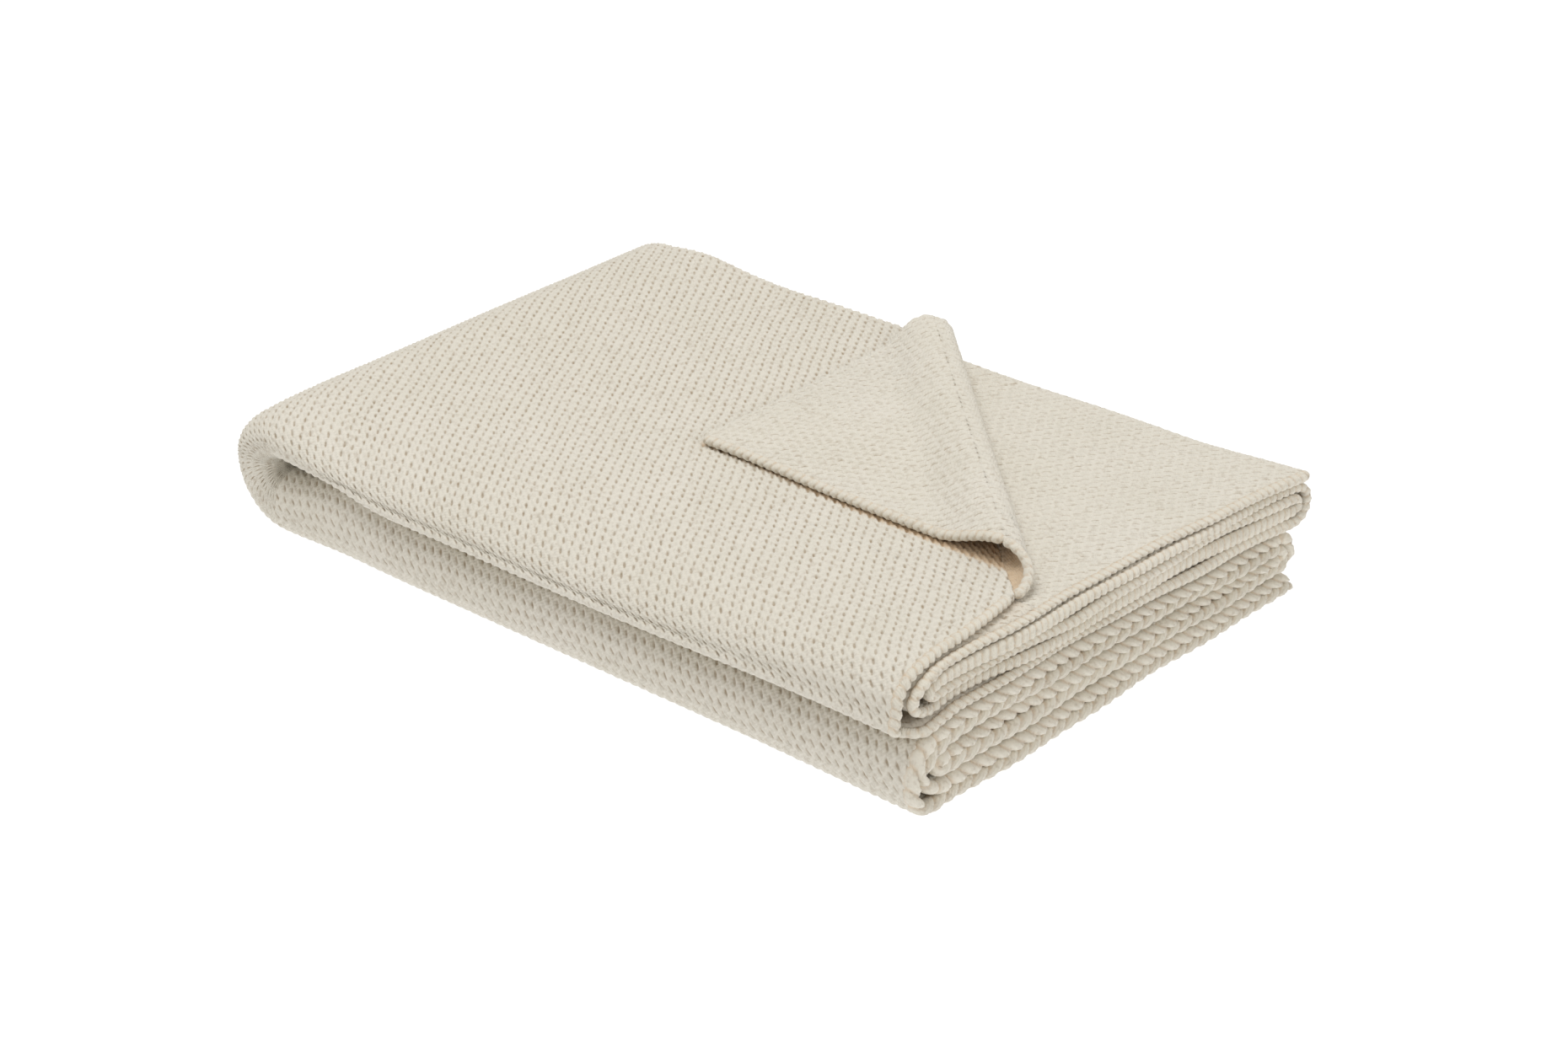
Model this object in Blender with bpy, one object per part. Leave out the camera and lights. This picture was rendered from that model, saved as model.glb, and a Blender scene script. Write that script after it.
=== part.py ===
"""Folded knitted throw: a moss-stitch cotton panel folded to a pile, one top corner turned back.

The panel is folded over and over across its length into six layers, and that strip is then
folded in half, so two bundles of six layers lie on each other. The spiral of one bundle, from
the free edge on top, runs: layer 1, front fold, layer 6, back fold, layer 3, front fold,
layer 4, back fold, layer 5, front fold, layer 2. +X is the end with the open edges, -X the
half fold, -Y the front with the big rolls, +Z up, metres, origin under the middle of the pile.
"""

import math

import bmesh
import bpy
from mathutils import Vector

# Flat panel and folded pile.
THROW_WIDTH = 1.300
LAYERS = 6
PILE_LENGTH = THROW_WIDTH / 2
PILE_WIDTH = 0.427
LOWER_THICK = 0.057
UPPER_THICK = 0.043
PILE_HEIGHT = LOWER_THICK + UPPER_THICK
GAP = 0.0003

# Half fold at the -X end: all layers turn round a small hollow.
TURN_RADIUS = 0.052
TURN_HOLLOW = 0.004
TURN_STEPS = 6
HALF_FOLD_AXIS = (-PILE_LENGTH / 2, 0.0, 0.064)

# Rolls along the front and the back, as half axes across the pile.
FRONT_ROLL = 0.025
FRONT_ROLL_WALL = 0.008
SECOND_ROLL = 0.016
SECOND_ROLL_SHIFT = 0.011
THIRD_ROLL = 0.011
THIRD_ROLL_SHIFT = 0.008
BACK_ROLL = 0.020
BACK_ROLL_HOLLOW = 0.0125
INNER_BACK_ROLL = 0.0100
INNER_BACK_SHIFT = 0.001
INNER_BACK_WALL = 0.0065
SMALL_HOLLOW = 0.04
ARC_STEPS = 8

# Finished edges of the panel.
EDGE_BAND = 0.010
EDGE_ROUNDING = 0.0025
EDGE_THINNING = 0.035
SELVEDGE = 0.008
SECOND_LAYER_SETBACK = 0.0045

# Turned-back corner of the top layer: its fold line, soft roll and outline.
FOLD_START = Vector((0.2807, -0.0618, 0.0))
FOLD_TOWARDS = Vector((0.0277, 0.1782, 0.0))
FOLD_LENGTH = 0.386
ROLL_LENGTH = 0.3795
CORNER_ROLL_OUTER = 0.016
FLAP_THICK = 0.007
CORNER_ROLL_INNER = CORNER_ROLL_OUTER - FLAP_THICK
FLAP_REST_Z = PILE_HEIGHT + GAP
FLAP_RISE_REACH = 0.050
FLAP_TIP = Vector((-0.011, -0.039, 0.0))
FLAP_BACK_CORNER = Vector((-0.015, 0.208, 0.0))
TOP_EDGE_DRIFT = 0.0403
TOP_EDGE_END_Y = -0.0673

X_OPEN = PILE_LENGTH / 2
X_TURN = -PILE_LENGTH / 2 + TURN_RADIUS
Y_FRONT = -PILE_WIDTH / 2
Y_BACK = PILE_WIDTH / 2
Z_SPLIT = LOWER_THICK
MARGIN = GAP / 2 / UPPER_THICK

FRONT_C = Y_FRONT + FRONT_ROLL
SECOND_C = FRONT_C + SECOND_ROLL_SHIFT
THIRD_C = SECOND_C + THIRD_ROLL_SHIFT
BACK_C = Y_BACK - BACK_ROLL
INNER_BACK_C = BACK_C - INNER_BACK_SHIFT

COTTON = (0.70, 0.665, 0.59, 1.0)
EDGE_COTTON = (0.66, 0.62, 0.54, 1.0)


def material(name, colour):
    made = bpy.data.materials.new(name)
    made.use_nodes = True
    shader = made.node_tree.nodes["Principled BSDF"]
    shader.inputs["Base Color"].default_value = colour
    shader.inputs["Roughness"].default_value = 0.95
    shader.inputs["Metallic"].default_value = 0.0
    return made


def axis_empty(name, location, parent=None):
    empty = bpy.data.objects.new(name, None)
    bpy.context.scene.collection.objects.link(empty)
    empty.parent = parent
    origin = Vector(parent.location) if parent else Vector((0, 0, 0))
    empty.location = Vector(location) - origin
    return empty


def cap(shape, row):
    """Close a ring with quads between its two sides, first point facing the last."""
    count = len(row)
    for k in range(count // 2 - 1):
        shape.faces.new((row[k], row[k + 1], row[count - 2 - k], row[count - 1 - k]))


def solid(name, rings, look, empty=None, offset=(0, 0, 0)):
    """A closed body through rings of points, each ring with the same number of points."""
    offset = Vector(offset)
    count = len(rings[0])
    shape = bmesh.new()
    rows = []
    for ring in rings:
        rows.append([shape.verts.new(Vector(point) - offset) for point in ring])
    for before, after in zip(rows, rows[1:]):
        for k in range(count):
            n = (k + 1) % count
            shape.faces.new((before[k], before[n], after[n], after[k]))
    cap(shape, rows[0])
    cap(shape, rows[-1])
    bmesh.ops.recalc_face_normals(shape, faces=shape.faces)
    bmesh.ops.triangulate(shape, faces=shape.faces)
    mesh = bpy.data.meshes.new(name)
    shape.to_mesh(mesh)
    shape.free()
    mesh.materials.append(look)
    mesh.shade_smooth()
    mesh.set_sharp_from_angle(angle=math.radians(35))
    made = bpy.data.objects.new(name, mesh)
    bpy.context.scene.collection.objects.link(made)
    made.parent = empty
    return made


def hollow_at(x):
    """Half height of the slit between the bundles, opening towards the half fold."""
    t = min(max((x + 0.20) / (X_TURN + 0.20), 0.0), 1.0)
    return GAP / 2 + (TURN_HOLLOW - GAP / 2) * t * t * (3 - 2 * t)


def leg_z(x, depth, side):
    """Height at depth 0 (outside of the bundle) to 1 (inside); side +1 upper, -1 lower."""
    thick = UPPER_THICK if side > 0 else LOWER_THICK
    slit = hollow_at(x)
    return Z_SPLIT + side * (slit + (1 - depth) * (thick - slit))


def turn_point(turn, y, depth, side):
    """A point of the half fold; turn 0 is the end of the leg, 1 the seam at mid height."""
    angle = turn * math.pi / 2
    thick = UPPER_THICK if side > 0 else LOWER_THICK
    out = (1 - depth) * TURN_RADIUS + depth * TURN_HOLLOW
    up = (1 - depth) * thick + depth * TURN_HOLLOW
    rise = max(math.cos(angle) * up, GAP / 2)
    return (X_TURN - math.sin(angle) * out, y, Z_SPLIT + side * rise)


def run(section, stations, side, turns=True):
    """Rings of one cross-section (y, depth) along a leg and, if asked, round the half fold."""
    rings = []
    for x in stations:
        rings.append([(x, y, leg_z(x, depth, side)) for y, depth in section(x)])
    if turns:
        for k in range(1, TURN_STEPS + 1):
            ring = section(X_TURN)
            rings.append([turn_point(k / TURN_STEPS, y, d, side) for y, d in ring])
    return rings


def layer_depths(number, shrink=0.0):
    """Depths of a layer's outer and inner face; shrink thins it from both faces."""
    near = 0.0 if number == 1 else (number - 1) / LAYERS + MARGIN
    return near + shrink, number / LAYERS - MARGIN - shrink


def half_ring(centre_y, centre_d, outer, inner, towards):
    """Half of an elliptic ring in (y, depth); outer and inner are (half y, half depth)."""
    points = []
    for half_y, half_d, order in ((*outer, 1), (*inner, -1)):
        for k in range(ARC_STEPS + 1)[::order]:
            angle = math.pi * k / ARC_STEPS
            y = centre_y + towards * half_y * math.sin(angle)
            points.append((y, centre_d - half_d * math.cos(angle)))
    return points


def roll_sections(shrink=0.0):
    """Cross-sections of the five rolls of one bundle, by name; shrink thins their walls."""
    wall = FRONT_ROLL - FRONT_ROLL_WALL
    sixth = 1 / LAYERS
    thin = shrink * UPPER_THICK
    less = MARGIN + shrink
    small = SMALL_HOLLOW + shrink
    return {
        "front_roll_outer": half_ring(
            FRONT_C - GAP, 0.5, (FRONT_ROLL - GAP - thin, 0.5 - shrink),
            (wall + thin, 2 * sixth + less), -1),
        "front_roll_second": half_ring(
            SECOND_C - GAP, 0.5, (SECOND_ROLL - thin, 2 * sixth - less),
            (SECOND_ROLL - FRONT_ROLL_WALL + thin, sixth + less), -1),
        "front_roll_inner": half_ring(
            THIRD_C - GAP, 0.5, (THIRD_ROLL - thin, sixth - less),
            (THIRD_ROLL - FRONT_ROLL_WALL + thin, small), -1),
        "back_roll_outer": half_ring(
            BACK_C + GAP, 4 * sixth, (BACK_ROLL - GAP - thin, 2 * sixth - less),
            (BACK_ROLL_HOLLOW + thin, sixth + less), 1),
        "back_roll_inner": half_ring(
            INNER_BACK_C + GAP, 4 * sixth, (INNER_BACK_ROLL - thin, sixth - less),
            (INNER_BACK_ROLL - INNER_BACK_WALL + thin, small), 1),
    }


def layer_limits(number):
    """Front and back ends across the pile of the flat part of a layer."""
    front = {1: FRONT_C, 6: FRONT_C, 2: SECOND_C, 5: SECOND_C, 3: THIRD_C, 4: THIRD_C}
    free_second = Y_BACK - SECOND_LAYER_SETBACK - SELVEDGE - GAP
    back = {1: Y_BACK - SELVEDGE - GAP, 2: free_second, 3: BACK_C, 6: BACK_C,
            4: INNER_BACK_C, 5: INNER_BACK_C}
    return front[number], back[number]


def leg_stations(x_end):
    return [x_end, 0.10, -0.10, -0.20, -0.225, -0.25, X_TURN]


def plain_layer(number, x_end, side):
    front, back = layer_limits(number)
    near, far = layer_depths(number)
    ring = [(front, near), (back, near), (back, far), (front, far)]
    return run(lambda x: ring, leg_stations(x_end), side)


def top_edge_drift(y):
    """How far the open edge of the top layer is drawn back, front to fold."""
    t = (y - FRONT_C) / (TOP_EDGE_END_Y - FRONT_C)
    return TOP_EDGE_DRIFT * min(max(t, 0.0), 1.0)


def fold_frame():
    along = (FOLD_TOWARDS - FOLD_START).normalized()
    inward = Vector((-along.y, along.x, 0.0))
    return along, inward


def top_layer_back(x, x_end):
    """Back limit of the top layer at x, cut by the corner fold and by its drawn-back edge."""
    slope = (FOLD_TOWARDS.y - FOLD_START.y) / (FOLD_START.x - FOLD_TOWARDS.x)
    fold = FOLD_START.y + (FOLD_START.x - x) * slope - 0.0006
    edge = FRONT_C + (x_end - x) / TOP_EDGE_DRIFT * (TOP_EDGE_END_Y - FRONT_C)
    return min(layer_limits(1)[1], fold, edge)


def top_layer(x_end):
    near, far = layer_depths(1)
    front = FRONT_C

    def section(x):
        back = top_layer_back(x, x_end)
        return [(front, near), (back, near), (back, far), (front, far)]

    stations = [x_end - 0.0015, 0.300, 0.2695, 0.20, 0.10, -0.0017, -0.10, -0.20, -0.225,
                -0.25, X_TURN]
    return run(section, stations, 1)


def strip_sides(top_back, shrink):
    """Both sides of the folded edge band as (y, depth, layer), through the whole spiral."""
    rolls = roll_sections(shrink)
    half = ARC_STEPS + 1

    def flat(number, first, last, left_outer):
        near, far = layer_depths(number, shrink)
        left, right = (near, far) if left_outer else (far, near)
        a = [(first, left, number), (last, left, number)]
        b = [(first, right, number), (last, right, number)]
        return a, b

    def arc(name, upwards, left_outer):
        points = rolls[name]
        outer = [(y, d, 0) for y, d in points[:half]]
        inner = [(y, d, 0) for y, d in points[half:]][::-1]
        if upwards:
            outer.reverse()
            inner.reverse()
        return (outer, inner) if left_outer else (inner, outer)

    second_back = Y_BACK - SECOND_LAYER_SETBACK
    pieces = [
        flat(1, top_back, FRONT_C, True),
        arc("front_roll_outer", False, True),
        flat(6, FRONT_C, BACK_C, False),
        arc("back_roll_outer", True, True),
        flat(3, BACK_C, THIRD_C, True),
        arc("front_roll_inner", False, True),
        flat(4, THIRD_C, INNER_BACK_C, False),
        arc("back_roll_inner", False, False),
        flat(5, INNER_BACK_C, SECOND_C, True),
        arc("front_roll_second", True, False),
        flat(2, SECOND_C, second_back, False),
    ]
    left = [point for piece in pieces for point in piece[0]]
    right = [point for piece in pieces for point in piece[1]]
    return left, right


def edge_band(side, top_back, drift):
    """The finished edge of a bundle: one band along the whole spiral, thinner at its rim."""
    rim = X_OPEN - EDGE_ROUNDING
    inner = X_OPEN - EDGE_BAND + GAP
    full = strip_sides(top_back, 0.0)
    thin = strip_sides(top_back, EDGE_THINNING)
    corners = [(inner, full[0]), (rim, full[0]), (X_OPEN, thin[0]),
               (X_OPEN, thin[1]), (rim, full[1]), (inner, full[1])]
    rings = []
    for k in range(len(full[0])):
        ring = []
        for x, points in corners:
            y, depth, layer = points[k]
            back = top_edge_drift(y) if drift and layer == 1 else 0.0
            ring.append((x - back, y, leg_z(X_OPEN, depth, side)))
        rings.append(ring)
    return rings


def selvedge(number, x_end, side):
    """A finished side edge, a flattened bar along the back of a free layer."""
    near, far = layer_depths(number)
    set_back = SECOND_LAYER_SETBACK if number == 2 else 0.0
    outer = Y_BACK - set_back
    inner = outer - SELVEDGE
    quarter = (far - near) / 4
    ring = [(inner, near), (outer - 0.002, near), (outer, near + quarter),
            (outer, far - quarter), (outer - 0.002, far), (inner, far)]
    stations = [x for x in leg_stations(x_end) if x <= x_end]
    return run(lambda x: ring, stations, side)


def flap_rise(p):
    """Extra height of the flap at distance p from its fold line, where it rolls over."""
    if p >= FLAP_RISE_REACH:
        return 0.0
    lift = 2 * CORNER_ROLL_INNER - GAP
    return lift * math.cos(math.pi / 2 * max(p, 0.0) / FLAP_RISE_REACH) ** 2


def flap_point(s, p, z):
    along, inward = fold_frame()
    flat = FOLD_START + along * s + inward * p
    return (flat.x, flat.y, z)


def flap_coordinates(point):
    along, inward = fold_frame()
    away = point - FOLD_START
    return away.dot(along), away.dot(inward)


def flap_axis():
    return (FOLD_START.x, FOLD_START.y, PILE_HEIGHT - FLAP_THICK + CORNER_ROLL_OUTER)


def corner_roll():
    """The soft roll over which the corner turns back, from the top layer up and over."""
    centre = flap_axis()[2]
    ring = []
    for radius, order in ((CORNER_ROLL_OUTER - GAP / 2, 1), (CORNER_ROLL_INNER, -1)):
        for k in range(15)[::order]:
            angle = math.radians(-90 + 15 * k)
            ring.append((-radius * math.cos(angle), centre + radius * math.sin(angle)))
    stations = [ROLL_LENGTH * k / 4 for k in range(5)]
    return [[flap_point(s, p, z) for p, z in ring] for s in stations]


def bar(start, end, width, first, last, inside):
    """A flattened edge bar between two flap points, its body on the inside of that line."""
    s0, p0 = start
    s1, p1 = end
    length = math.hypot(s1 - s0, p1 - p0)
    ds, dp = (s1 - s0) / length, (p1 - p0) / length
    ns, np_ = -dp * inside, ds * inside
    rings = []
    for k in range(9):
        t = first + (length - last - first) * k / 8
        ring = []
        for across, high in ((0, 0.25), (0, 0.75), (0.25, 1), (1, 1), (1, 0), (0.25, 0)):
            s = s0 + ds * t + ns * across * width
            p = p0 + dp * t + np_ * across * width
            ring.append(flap_point(s, p, FLAP_REST_Z + flap_rise(p) + FLAP_THICK * high))
        rings.append(ring)
    return rings


def flap_limits(p, inset):
    """Range along the fold that the flap covers at distance p, inside its edge bars."""
    tip_s, tip_p = flap_coordinates(FLAP_TIP)
    far_s, far_p = flap_coordinates(FLAP_BACK_CORNER)
    low = tip_s * p / tip_p
    if p < far_p:
        high = FOLD_LENGTH + (far_s - FOLD_LENGTH) * p / far_p
    else:
        high = far_s + (tip_s - far_s) * (p - far_p) / (tip_p - far_p)
    spread = 1.60 * inset
    return low + spread, high - spread


def flap_body():
    """The flap's field: near end hollowed to run round the roll, tip towards the front."""
    axis_z = flap_axis()[2]
    clear = CORNER_ROLL_OUTER + GAP
    tip_p = flap_coordinates(FLAP_TIP)[1] - 1.5 * (SELVEDGE + GAP)
    inset = SELVEDGE + GAP
    rings = []
    steps = [0.0050, 0.0085, 0.0120, 0.0157, 0.022, 0.030, 0.040, 0.050, 0.10, tip_p]
    for p in steps:
        top = FLAP_REST_Z + FLAP_THICK + flap_rise(p)
        low = FLAP_REST_Z + flap_rise(p)
        if p < clear:
            low = max(low, axis_z + math.sqrt(clear * clear - p * p))
        first, last = flap_limits(p, inset)
        rings.append([flap_point(first, p, low), flap_point(last, p, low),
                      flap_point(last, p, top), flap_point(first, p, top)])
    return rings


def build_bundle(prefix, side, x_end, cotton, empty, offset):
    """Layers 2 to 6 and the five rolls of one bundle."""
    for number in range(2, LAYERS + 1):
        rings = plain_layer(number, x_end, side)
        solid(f"{prefix}_layer_{number}", rings, cotton, empty, offset)
    for name, ring in roll_sections().items():
        rings = run(lambda x: ring, leg_stations(x_end), side)
        solid(f"{prefix}_{name}", rings, cotton, empty, offset)


def build():
    for old in list(bpy.data.objects):
        bpy.data.objects.remove(old, do_unlink=True)
    cotton = material("moss_knit_cotton", COTTON)
    edging = material("knit_edge_cotton", EDGE_COTTON)
    hinge = axis_empty("half_fold_axis", HALF_FOLD_AXIS)
    corner = axis_empty("corner_fold_axis", flap_axis(), hinge)
    at_hinge = HALF_FOLD_AXIS
    at_corner = flap_axis()
    x_end = X_OPEN - EDGE_BAND

    build_bundle("lower", -1, x_end, cotton, None, (0, 0, 0))
    solid("lower_layer_1", plain_layer(1, x_end, -1), cotton)
    solid("bind_off_edge", edge_band(-1, Y_BACK, False), edging)
    solid("lower_selvedge_1", selvedge(1, x_end, -1), edging)
    solid("lower_selvedge_2", selvedge(2, x_end, -1), edging)

    build_bundle("upper", 1, x_end, cotton, hinge, at_hinge)
    solid("upper_layer_1", top_layer(x_end), cotton, hinge, at_hinge)
    solid("cast_on_edge", edge_band(1, TOP_EDGE_END_Y, True), edging, hinge, at_hinge)
    solid("upper_selvedge_1", selvedge(1, -0.0118, 1), edging, hinge, at_hinge)
    solid("upper_selvedge_2", selvedge(2, x_end, 1), edging, hinge, at_hinge)
    solid("corner_roll", corner_roll(), cotton, hinge, at_hinge)

    solid("corner_flap", flap_body(), cotton, corner, at_corner)
    tip = flap_coordinates(FLAP_TIP)
    far = flap_coordinates(FLAP_BACK_CORNER)
    cast_on = bar((0.0, 0.0), tip, SELVEDGE, 0.033, 0.0, -1)
    solid("corner_flap_cast_on_edge", cast_on, edging, corner, at_corner)
    side_bar = bar(far, tip, SELVEDGE, 0.004, SELVEDGE + GAP, 1)
    solid("corner_flap_selvedge", side_bar, edging, corner, at_corner)


build()
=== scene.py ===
import math

import bpy
import numpy as np
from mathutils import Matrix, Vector


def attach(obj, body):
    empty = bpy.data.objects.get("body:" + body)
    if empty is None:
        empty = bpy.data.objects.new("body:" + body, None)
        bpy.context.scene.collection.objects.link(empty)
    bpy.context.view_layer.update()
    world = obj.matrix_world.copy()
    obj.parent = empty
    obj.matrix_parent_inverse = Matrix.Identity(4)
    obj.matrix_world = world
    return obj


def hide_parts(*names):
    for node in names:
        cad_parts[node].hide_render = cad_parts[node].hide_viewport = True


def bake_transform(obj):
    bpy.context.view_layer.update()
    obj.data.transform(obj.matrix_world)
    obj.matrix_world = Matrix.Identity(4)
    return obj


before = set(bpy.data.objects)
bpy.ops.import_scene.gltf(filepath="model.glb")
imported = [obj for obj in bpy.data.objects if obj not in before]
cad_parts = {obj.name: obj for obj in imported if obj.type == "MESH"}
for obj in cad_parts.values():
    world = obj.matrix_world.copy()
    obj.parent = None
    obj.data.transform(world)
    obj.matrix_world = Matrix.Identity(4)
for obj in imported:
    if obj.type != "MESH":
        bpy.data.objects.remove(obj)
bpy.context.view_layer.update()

# Lengths are in millimetres until a mesh is made.
MM = 0.001

# The knitting: courses run along the pile (X), wales round its folds (Y).
COURSE = 4.04
WALE = 6.84
STITCH_DEPTH = 2.3
U_STEP = COURSE / 4
V_STEP = WALE / 7
SMOOTH_ROWS = 21
RIM = 3.5

# How much of the stitch's form is slanted strand, short dash, row and ply.
STRAND, DASH, ROW, PLY = 1.0, 1.3, 0.5, 1.1
CELL = 12
FINE, MEDIUM, COARSE = 12, 6, 1

# The pile, as in the CAD model.
X_OPEN = 325.0
X_TURN = -273.0
Y_FRONT = -213.5
Y_BACK = 213.5
Z_SPLIT = 57.0
TOP = 100.0
LAYERS = 6
TURN_RADIUS = 52.0
TURN_HOLLOW = 4.0
SLIT_CLOSES_X = -200.0
FRONT_C, SECOND_C, THIRD_C = -188.5, -177.5, -169.5
BACK_C, INNER_BACK_C = 193.5, 192.5
FRONT_ROLL, SECOND_ROLL, THIRD_ROLL = 25.0, 16.0, 11.0
BACK_ROLL, INNER_BACK_ROLL = 20.0, 10.0
HALF_FABRIC = 3.2
LOWER_FULLNESS = 1.12
LOWER_ROLL_END_FULLNESS = 1.42
TURN_REPEATS = 21
COLUMNS_PER_REPEAT = 8
SECTION_HEIGHT = 50.0
ROLL_SQUARENESS = 0.95

# The turned-back corner.
FOLD_START = np.array([280.7, -61.8])
FOLD_TOWARDS = np.array([27.7, 178.2])
FOLD_LENGTH = 386.0
FLAP_TIP = np.array([-11.0, -39.0])
FLAP_BACK_CORNER = np.array([-15.0, 208.0])
ROLL_AXIS_Z = 109.0
ROLL_MID = 12.5
ROLL_RISE = 8.5
FLAP_HALF = 3.3
FLAP_RISE_REACH = 40.0
EDGE_MEETS_FOLD_Y = -78.3
LAYER_1_EDGE_END_Y = -82.0
ROLL_RUN_ON = 1.23

# The finished edges.
BRAID_PAIRING = 0.8
BRAID_LEAN = 0.42
CHAIN_VEE = 0.30

# Painted shade: the warm colour given to yarn deep between the layers, where shade falls.
PAINTED_SHADE_COLOUR = (0.66, 0.48, 0.30, 1.0)

LEGS = [f"layer_{n}" for n in range(1, LAYERS + 1)]
FACING = ("layer_1", "front_outer", "layer_6", "back_outer")

ALONG = (FOLD_TOWARDS - FOLD_START) / np.linalg.norm(FOLD_TOWARDS - FOLD_START)
INWARD = np.array([-ALONG[1], ALONG[0]])


def ramp(x, low, high):
    """Smooth step from 0 at low to 1 at high."""
    t = np.clip((np.asarray(x, float) - low) / (high - low), 0, 1)
    return t * t * (3 - 2 * t)


def knots(x, *pairs):
    """Values at x on a line through (place, value) pairs."""
    places, values = zip(*pairs)
    return np.interp(x, places, values)


def bump(x, centre, width):
    return np.exp(-(((x - centre) / width) ** 2))


def rounded(distance):
    """How full the fabric is at a distance from its rim: almost 0 there, 1 past RIM."""
    return np.sqrt(1 - (1 - np.clip(distance / RIM, 0.04, 1)) ** 2)


# ---------------------------------------------------------------- the folded section


def section():
    """The sheet's path round the folds of one bundle: y and depth at equal steps.

    Depth 0 is the outside of the bundle, 1 the side that faces the other bundle.
    """
    sixth = 1 / LAYERS
    mid = [(n - 0.5) * sixth for n in range(LAYERS + 1)]
    legs = []

    def leg(y0, y1, depth, kind):
        t = np.linspace(0, 1, 400)
        legs.append((y0 + (y1 - y0) * t, np.full_like(t, depth), kind))

    def roll(centre, radius, start, end, towards, kind):
        a = np.linspace(0, math.pi, 200)
        middle, half = (start + end) / 2, (start - end) / 2
        along = np.cos(a)
        y = centre + towards * (radius - HALF_FABRIC) * np.sin(a) ** ROLL_SQUARENESS
        depth = middle + half * np.sign(along) * np.abs(along) ** ROLL_SQUARENESS
        legs.append((y, depth, kind))

    leg(Y_BACK, FRONT_C, mid[1], "layer_1")
    roll(FRONT_C, FRONT_ROLL, mid[1], mid[6], -1, "front_outer")
    leg(FRONT_C, BACK_C, mid[6], "layer_6")
    roll(BACK_C, BACK_ROLL, mid[6], mid[3], 1, "back_outer")
    leg(BACK_C, THIRD_C, mid[3], "layer_3")
    roll(THIRD_C, THIRD_ROLL, mid[3], mid[4], -1, "front_inner")
    leg(THIRD_C, INNER_BACK_C, mid[4], "layer_4")
    roll(INNER_BACK_C, INNER_BACK_ROLL, mid[4], mid[5], 1, "back_inner")
    leg(INNER_BACK_C, SECOND_C, mid[5], "layer_5")
    roll(SECOND_C, SECOND_ROLL, mid[5], mid[2], -1, "front_second")
    leg(SECOND_C, Y_BACK - 4.5, mid[2], "layer_2")

    y = np.concatenate([part[0] for part in legs])
    d = np.concatenate([part[1] for part in legs])
    step = np.hypot(np.diff(y), np.diff(d) * SECTION_HEIGHT)
    length = np.concatenate([[0], np.cumsum(step)])
    count = int(round(length[-1] / V_STEP))
    v = np.linspace(0, length[-1], count + 1)
    kinds = np.concatenate([[i] * len(part[0]) for i, part in enumerate(legs)])
    kind = np.round(np.interp(v, length, kinds)).astype(int)
    names = [part[2] for part in legs]
    return np.interp(v, length, y), np.interp(v, length, d), v, kind, names


ROW_Y, ROW_D, ROW_V, ROW_KIND, KINDS = section()


def in_kind(*wanted):
    return np.isin(ROW_KIND, [KINDS.index(w) for w in wanted])


# ---------------------------------------------------------------- the bundle's form


def enclosed():
    """1 where a layer lies inside the pile, 0 at the free side edges at the back."""
    return (1 - ramp(ROW_Y, 165, 190) * in_kind("layer_1", "layer_2"))[:, None]


def near_end(x):
    return ramp(x, 170, 325)


def split_height(x, y):
    """Height at which the two bundles meet."""
    end = knots(y, (-213, -3), (-190, 3), (-166, 8), (-114, 8), (-24, 5),
                (71, 0), (173, -4), (213, -7))
    left = 7 * bump(x, -208, 34) * ramp(-y, 120, 200)
    return Z_SPLIT + near_end(x) * end + left * ramp(x, X_TURN, X_TURN + 25)


def outer_height(side, x, y):
    """Height of the bundle's outside: the top of the pile, or the surface it lies on."""
    if side < 0:
        return np.zeros_like(x + y)
    end = knots(y, (-213, -2), (-190, 2), (-170, 5), (-130, 8), (-100, 8),
                (-50, 5), (0, 4), (100, 3), (213, 2))
    z = TOP + near_end(x) * end
    z = z + 4.5 * bump(x, -238, 34) * bump(y, 213, 70) - 2.5 * bump(x, -155, 40) * bump(y, 213, 90)
    z = z + 0.9 * np.sin(x / 61 + 0.8) * np.sin(y / 83 + 1.9) + 0.6 * np.sin(x / 29 - y / 47)
    return z - shoulder(x, y)


def shoulder(x, y):
    """How far the top slopes down towards the front roll: less at both ends."""
    fall = knots(y, (-214, 24), (-205, 20), (-190, 13), (-180, 9), (-170, 5.5), (-155, 2.4),
                 (-140, 0.8), (-120, 0))
    return fall * (1 - ramp(x, 60, 300)) * (0.35 + 0.65 * ramp(x, X_TURN, X_TURN + 70))


def hollow(x):
    return 0.2 + (TURN_HOLLOW - 0.2) * (1 - ramp(x, X_TURN, SLIT_CLOSES_X))


def fan(side, x, y, d):
    """Depth with the layers spread unevenly towards the open end."""
    if side > 0:
        k2 = knots(y, (-170, .31), (-130, .30), (-90, .27), (0, .26), (100, .28), (200, .33))
        k3 = knots(y, (-170, .52), (-130, .55), (-90, .50), (-45, .50), (0, .43), (200, .44))
        k4 = knots(y, (-170, .70), (-90, .68), (-45, .70), (0, .63), (50, .57), (200, .60))
        k5 = knots(y, (-170, .87), (-45, .88), (0, .86), (50, .82), (200, .80))
    else:
        k2 = 0.350 + 0.015 * np.sin(y / 40)
        k3 = 0.535 + 0.020 * np.sin(y / 33 + 1)
        k4 = 0.690 + 0.015 * np.sin(y / 52 + 2)
        k5 = 0.845 + 0.015 * np.sin(y / 37)
    marks = [np.zeros_like(y), np.full_like(y, 1 / 6), k2, k3, k4, k5, np.ones_like(y)]
    lower = np.clip((d * 6).astype(int), 0, 5)
    marks = np.stack([m + 0 * y for m in marks])
    picked = np.take_along_axis(marks, lower[None], 0)[0]
    above = np.take_along_axis(marks, lower[None] + 1, 0)[0]
    spread = picked + (above - picked) * (d * 6 - lower)
    return d + (spread - d) * near_end(x)


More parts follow.
